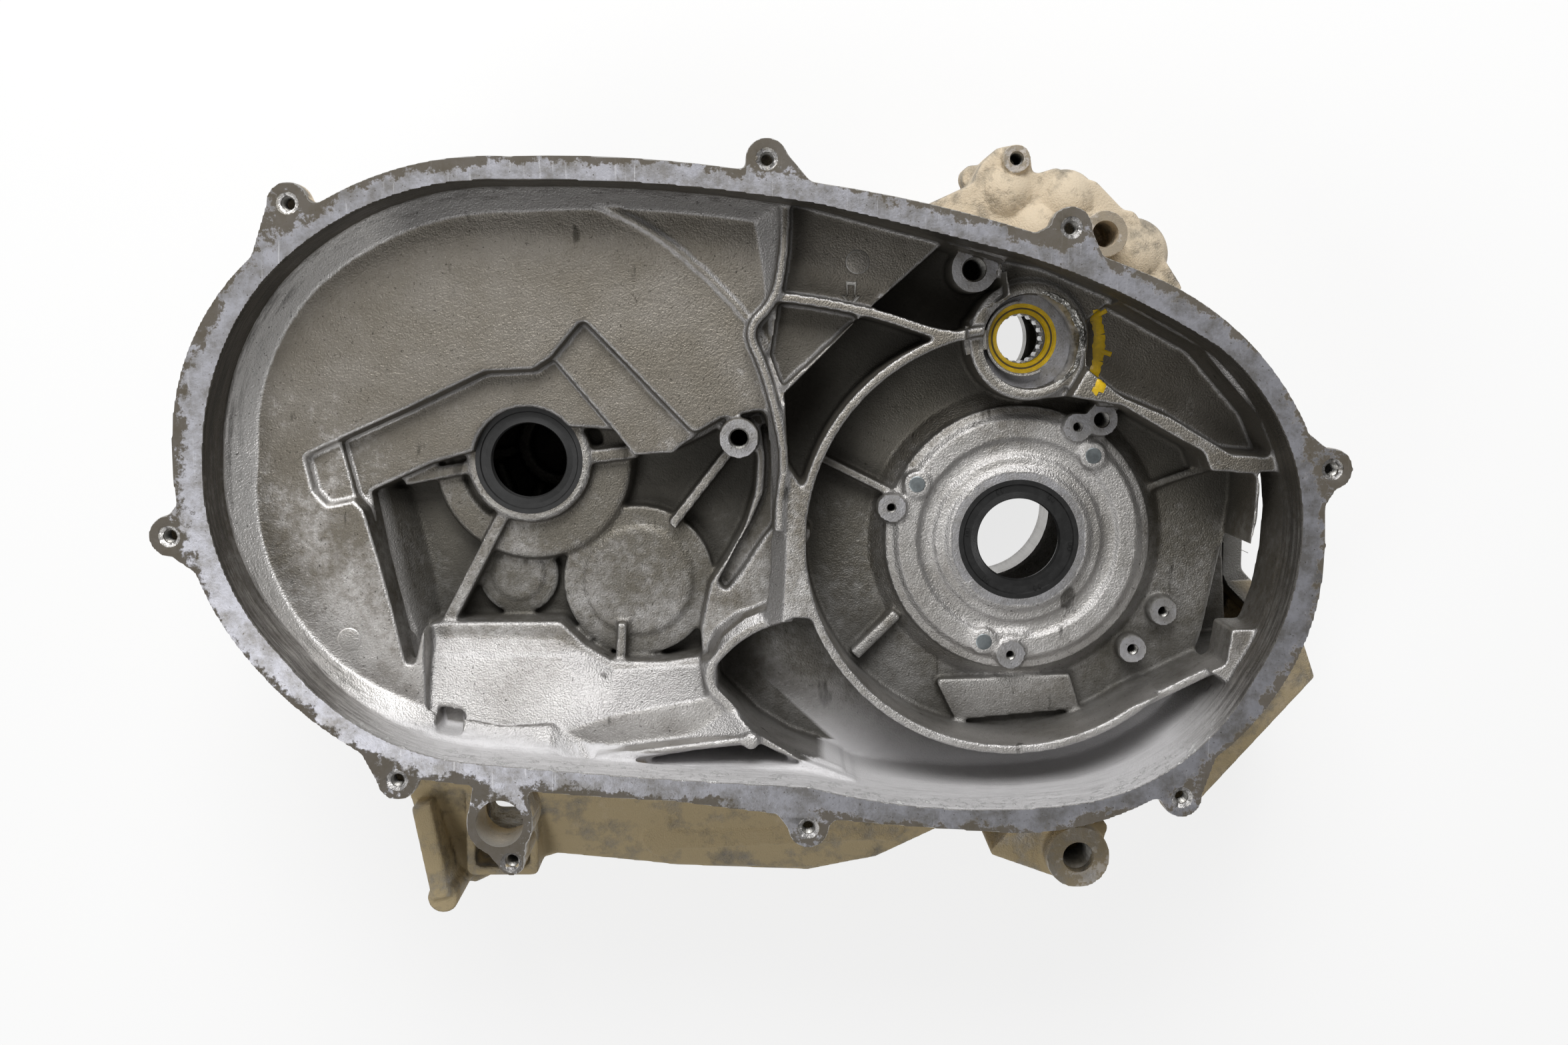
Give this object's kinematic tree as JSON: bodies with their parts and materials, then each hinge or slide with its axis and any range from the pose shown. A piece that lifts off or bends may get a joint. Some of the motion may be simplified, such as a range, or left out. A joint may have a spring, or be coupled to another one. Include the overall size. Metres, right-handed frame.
{
  "type": "engine crankcase",
  "caption": "Two-part cast aluminium engine crankcase with an integral belt-drive housing, shaft seals and bearing seats.",
  "frame": {"origin": "crankshaft axis at the joint plane of the two castings", "axes": "+Z along the crankshaft, out of the belt housing; +X towards the crankshaft end from the driven shaft; +Y towards the cylinder side"},
  "size_m": [0.6042, 0.4177, 0.235],
  "materials": {
    "cast_aluminium": "die-cast, grey, dusty; machined faces brighter",
    "cast_aluminium_far": "die-cast, grey, dusty",
    "seal_rubber": "black, satin",
    "seal_rubber_grey": "dark grey, matt",
    "seal_yellow": "yellow painted",
    "seal_steel": "plain",
    "spring_steel": "plain",
    "bearing_steel": "ground",
    "bearing_cage": "pressed",
    "roller_steel": "ground",
    "dowel_steel": "ground",
    "screw_steel": "zinc plated"
  },
  "bodies": {
    "crankcase": {"cvt_side_case": "cast_aluminium", "magneto_side_case": "cast_aluminium_far", "crank_seal": "seal_rubber", "crank_seal_ring": "seal_steel", "crank_seal_spring": "spring_steel", "driven_shaft_seal": "seal_rubber_grey", "driven_seal_ring": "seal_steel", "driven_seal_spring": "spring_steel", "starter_shaft_seal": "seal_yellow", "starter_seal_ring": "seal_steel", "starter_seal_spring": "spring_steel", "needle_bearing_cup": "bearing_steel", "locating_dowels": "dowel_steel", "case_screws": "screw_steel"},
    "needle_cage": {"needle_bearing_cage": "bearing_cage", "needle_rollers": "roller_steel"}
  },
  "joints": [
    {"name": "needle_cage_spin", "type": "hinge", "parent": "crankcase", "child": "needle_cage", "pos_m": [-0.0012, 0.103, 0.084], "axis": [0, 0, 1], "continuous": true}
  ]
}
